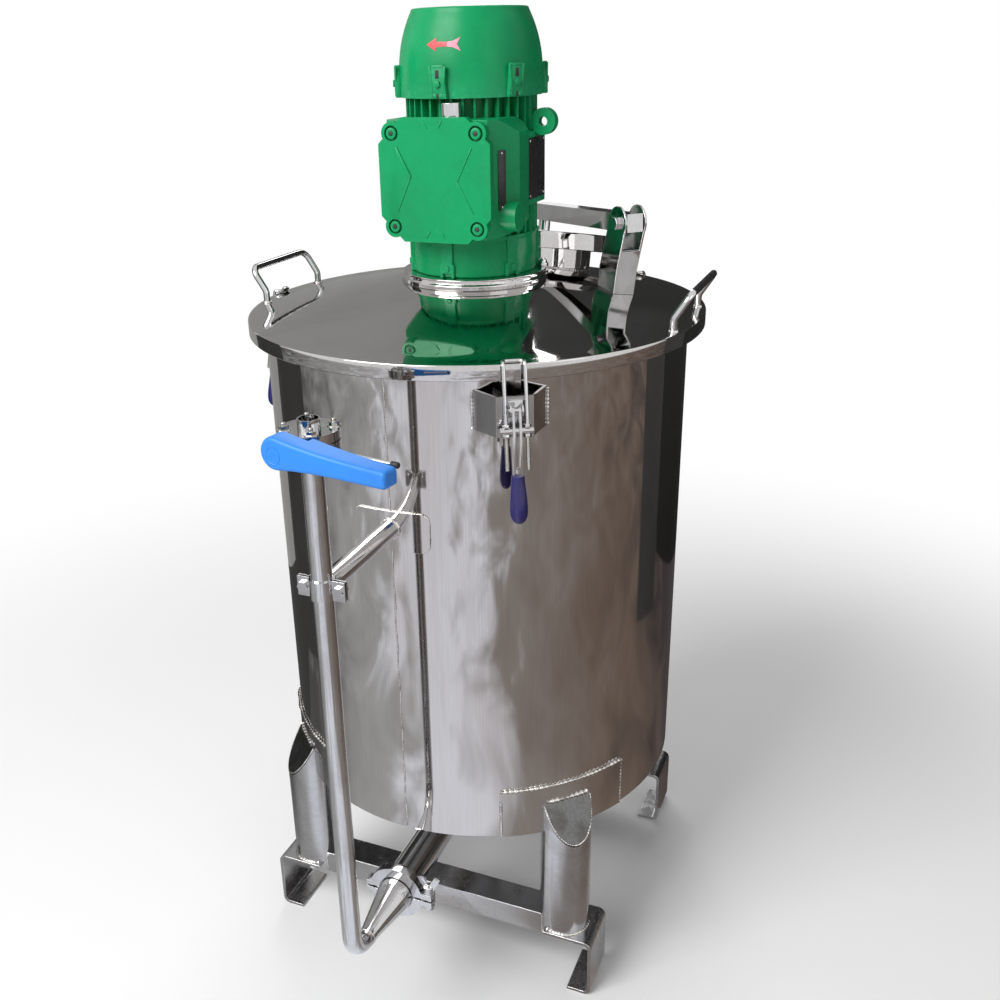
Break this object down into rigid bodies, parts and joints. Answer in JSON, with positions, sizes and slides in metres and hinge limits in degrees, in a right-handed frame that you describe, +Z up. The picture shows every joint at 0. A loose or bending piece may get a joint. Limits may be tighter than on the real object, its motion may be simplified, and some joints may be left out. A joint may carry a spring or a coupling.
{
  "type": "mixing tank",
  "caption": "Stainless mixing tank on legs with a latched lid, charge port, flange-mounted motor agitator and an outlet riser with valve.",
  "frame": {"origin": "on the floor under the tank's axis", "axes": "+Z up along the tank's axis, -Y towards the outlet riser and terminal box, +X to the right seen from there"},
  "size_m": [0.6952, 0.8826, 1.361],
  "materials": {
    "vessel_steel": "vertical brushed",
    "polished_steel": "near mirror",
    "fitting_steel": "satin to polished",
    "motor_paint": "satin green enamel",
    "lever_blue": "moulded blue grip",
    "grip_violet": "moulded dark violet grip"
  },
  "bodies": {
    "vessel": {"shell": "vessel_steel", "tank_rim": "vessel_steel", "bottom": "vessel_steel", "lid": "polished_steel", "motor_seat": "fitting_steel", "agitator_shaft": "fitting_steel", "impeller": "fitting_steel", "port_neck": "polished_steel", "port_cover": "polished_steel", "port_bracket": "fitting_steel", "port_pivot": "fitting_steel", "leg_front_right": "fitting_steel", "leg_rear_right": "fitting_steel", "leg_rear_left": "fitting_steel", "leg_front_left": "fitting_steel", "leg_caps": "fitting_steel", "leg_pads": "fitting_steel", "foot_front_right": "fitting_steel", "foot_rear_right": "fitting_steel", "foot_rear_left": "fitting_steel", "foot_front_left": "fitting_steel", "front_rail": "fitting_steel", "rear_rail": "fitting_steel", "outlet_pipe": "fitting_steel", "outlet_clamp": "fitting_steel", "clamp_wing_nut": "fitting_steel", "reducer": "fitting_steel", "riser_pipe": "fitting_steel", "stay_pad": "fitting_steel", "stay_arm": "fitting_steel", "riser_clip": "fitting_steel", "valve_body": "fitting_steel", "lid_handle_left": "fitting_steel", "lid_handle_right": "fitting_steel", "box_plug": "fitting_steel", "motor_flange": "motor_paint", "motor_frame": "motor_paint", "fan_cowl": "motor_paint", "terminal_box": "motor_paint", "box_cover": "motor_paint", "lifting_eye": "motor_paint", "latch_right_bracket": "fitting_steel", "latch_left_bracket": "fitting_steel", "latch_rear_bracket": "fitting_steel"},
    "valve_handle": {"valve_lever": "lever_blue", "valve_trigger": "fitting_steel", "valve_disc": "fitting_steel"},
    "port_arm": {"port_arm": "fitting_steel"},
    "latch_right_handle": {"latch_right_lever": "fitting_steel", "latch_right_grip": "grip_violet"},
    "latch_right_hook": {"latch_right_hoop": "fitting_steel"},
    "latch_left_handle": {"latch_left_lever": "fitting_steel", "latch_left_grip": "grip_violet"},
    "latch_left_hook": {"latch_left_hoop": "fitting_steel"},
    "latch_rear_handle": {"latch_rear_lever": "fitting_steel", "latch_rear_grip": "grip_violet"},
    "latch_rear_hook": {"latch_rear_hoop": "fitting_steel"}
  },
  "joints": [
    {"name": "valve_turn", "type": "hinge", "parent": "vessel", "child": "valve_handle", "pos_m": [0, -0.476, 0.929], "axis": [0.1736, 0.9848, 0], "range_deg": [0, 90]},
    {"name": "port_arm_lift", "type": "hinge", "parent": "vessel", "child": "port_arm", "pos_m": [0.21092, 0.03147, 1.09], "axis": [0.6962, 0.7179, 0], "range_deg": [0, 90]},
    {"name": "latch_right_open", "type": "hinge", "parent": "vessel", "child": "latch_right_handle", "pos_m": [0.1705, -0.29531, 0.921], "axis": [-0.866, -0.5, 0], "range_deg": [0, 110]},
    {"name": "latch_right_swing", "type": "hinge", "parent": "latch_right_handle", "child": "latch_right_hook", "pos_m": [0.172, -0.29791, 0.897], "axis": [-0.866, -0.5, 0], "range_deg": [-110, 0]},
    {"name": "latch_left_open", "type": "hinge", "parent": "vessel", "child": "latch_left_handle", "pos_m": [-0.341, 0, 0.921], "axis": [0, 1, 0], "range_deg": [0, 110]},
    {"name": "latch_left_swing", "type": "hinge", "parent": "latch_left_handle", "child": "latch_left_hook", "pos_m": [-0.344, 0, 0.897], "axis": [0, 1, 0], "range_deg": [-110, 0]},
    {"name": "latch_rear_open", "type": "hinge", "parent": "vessel", "child": "latch_rear_handle", "pos_m": [0.1705, 0.29531, 0.921], "axis": [0.866, -0.5, 0], "range_deg": [0, 110]},
    {"name": "latch_rear_swing", "type": "hinge", "parent": "latch_rear_handle", "child": "latch_rear_hook", "pos_m": [0.172, 0.29791, 0.897], "axis": [0.866, -0.5, 0], "range_deg": [-110, 0]}
  ],
  "couplings": [
    {"joint": "latch_right_swing", "follows": "latch_right_open", "ratio": -1},
    {"joint": "latch_left_swing", "follows": "latch_left_open", "ratio": -1},
    {"joint": "latch_rear_swing", "follows": "latch_rear_open", "ratio": -1}
  ]
}
